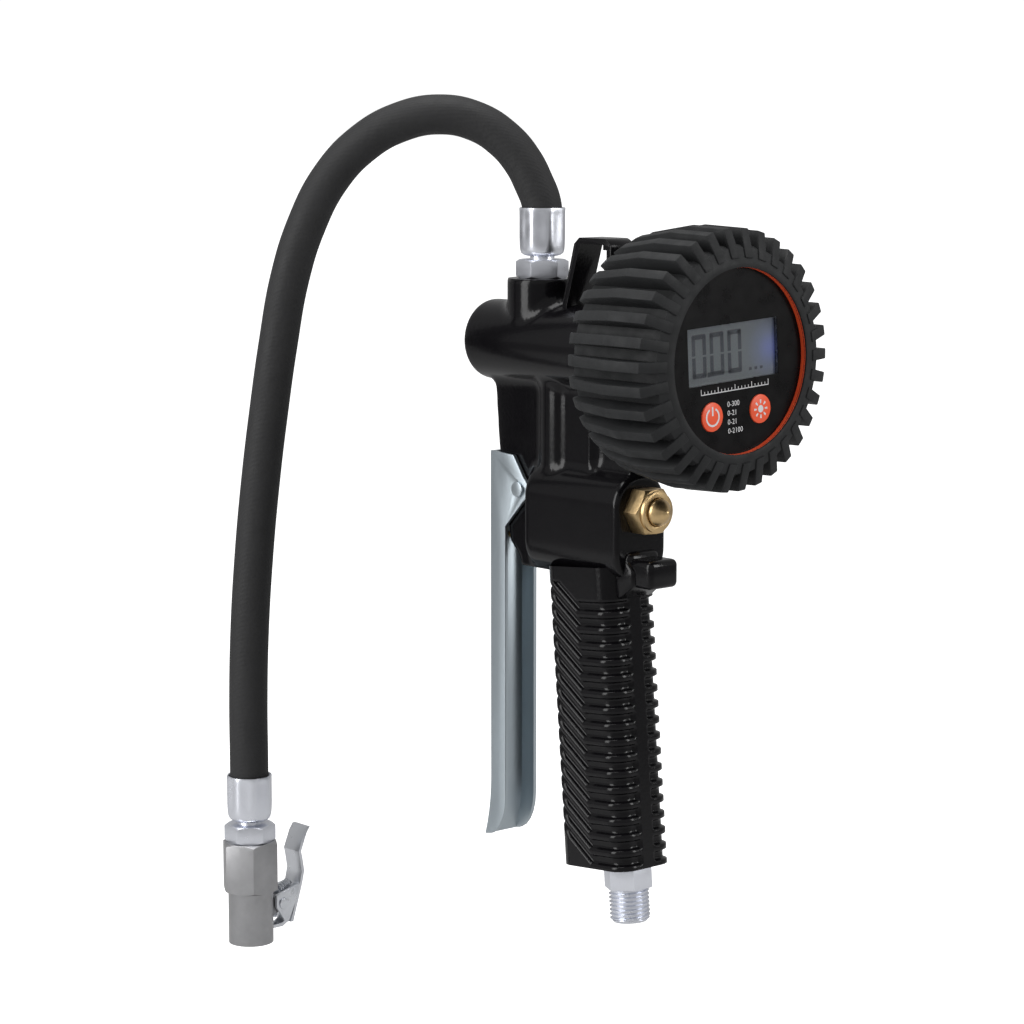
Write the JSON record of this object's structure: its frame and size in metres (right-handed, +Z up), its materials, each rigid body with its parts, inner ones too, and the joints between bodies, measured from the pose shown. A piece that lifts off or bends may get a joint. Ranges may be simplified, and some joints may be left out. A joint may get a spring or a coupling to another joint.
{
  "type": "tyre inflator with gauge",
  "caption": "Handheld tyre inflator with a digital gauge in a ribbed rubber boot, a squeeze lever, a brass bleed valve and a hose with a clip-on chuck.",
  "frame": {"origin": "inner top of the hanger loop, where a hook bears", "axes": "+Z up along the tool, -Y the way the gauge faces, X across the tool"},
  "size_m": [0.117, 0.1747, 0.2858],
  "materials": {
    "black_paint": "gloss black paint over a die casting",
    "strap_black": "satin black",
    "zinc_lever": "bluish zinc plate, satin",
    "brass": "turned, bright",
    "plated_steel": "nickel plate, lightly worn",
    "spring_steel": "bright zinc plate",
    "chuck_zinc": "bead blasted grey",
    "boot_rubber": "matte moulded rubber",
    "hose_rubber": "matte rubber",
    "seal_rubber": "matte",
    "orange_plastic": "satin orange-red",
    "panel_plastic": "satin black with white marks",
    "case_plastic": "matte black",
    "window_clear": "clear",
    "lcd_grey": "grey display, blue backlight",
    "board_green": "solder mask"
  },
  "bodies": {
    "frame": {"body_casting": "black_paint", "hanger_strap": "strap_black", "rear_plug": "black_paint", "valve_seat": "brass", "valve_spring": "spring_steel", "stem_bush": "brass", "stem_seal": "seal_rubber", "brass_cap": "brass", "bleed_spring": "spring_steel", "inlet_fitting": "plated_steel", "inlet_filter": "spring_steel", "inlet_seal": "seal_rubber", "gauge_stem": "brass", "stem_washer": "seal_rubber", "gauge_case": "case_plastic", "gauge_boot": "boot_rubber", "bezel_ring": "orange_plastic", "front_panel": "panel_plastic", "display_window": "window_clear", "lcd_module": "lcd_grey", "circuit_board": "board_green", "pressure_sensor": "plated_steel", "left_holder": "case_plastic", "right_holder": "case_plastic", "left_cell": "plated_steel", "right_cell": "plated_steel", "port_tail": "plated_steel", "port_ferrule": "plated_steel", "hose_tube": "hose_rubber", "chuck_tail": "plated_steel", "chuck_ferrule": "plated_steel", "chuck_body": "chuck_zinc", "chuck_seal": "seal_rubber", "valve_depressor": "brass", "clip_spring": "spring_steel"},
    "lever": {"trigger_lever": "zinc_lever", "lever_pin": "zinc_lever"},
    "plunger": {"plunger": "brass", "poppet_seal": "seal_rubber"},
    "bleed": {"bleed_button": "brass", "bleed_seal": "seal_rubber"},
    "power_key": {"power_button": "orange_plastic"},
    "light_key": {"light_button": "orange_plastic"},
    "clip": {"chuck_clip": "spring_steel", "clip_rivet": "spring_steel"}
  },
  "joints": [
    {"name": "lever_squeeze", "type": "hinge", "parent": "frame", "child": "lever", "pos_m": [0, 0.0328, -0.0814], "axis": [-1, 0, 0], "range_deg": [0, 12], "stiffness_Nm_per_rad": 4, "springref_deg": -8.59},
    {"name": "plunger_slide", "type": "slide", "parent": "frame", "child": "plunger", "axis": [0, -1, 0], "range_m": [0, 0.0035], "deforming": ["valve_spring"]},
    {"name": "bleed_press", "type": "slide", "parent": "frame", "child": "bleed", "axis": [0, 1, 0], "range_m": [0, 0.002], "stiffness_N_per_m": 900, "springref_m": -0.002, "deforming": ["bleed_spring"]},
    {"name": "power_press", "type": "slide", "parent": "frame", "child": "power_key", "axis": [0, 1, 0], "range_m": [0, 0.0006], "stiffness_N_per_m": 600, "springref_m": -0.001},
    {"name": "light_press", "type": "slide", "parent": "frame", "child": "light_key", "axis": [0, 1, 0], "range_m": [0, 0.0006], "stiffness_N_per_m": 600, "springref_m": -0.001},
    {"name": "clip_squeeze", "type": "hinge", "parent": "frame", "child": "clip", "pos_m": [-0.0552, 0.1035, -0.2266], "axis": [0, -1, 0], "range_deg": [0, 12], "stiffness_Nm_per_rad": 0.6, "springref_deg": -11.46, "deforming": ["clip_spring"]}
  ],
  "couplings": [
    {"joint": "plunger_slide", "follows": "lever_squeeze", "m_per_rad": 0.0166}
  ]
}
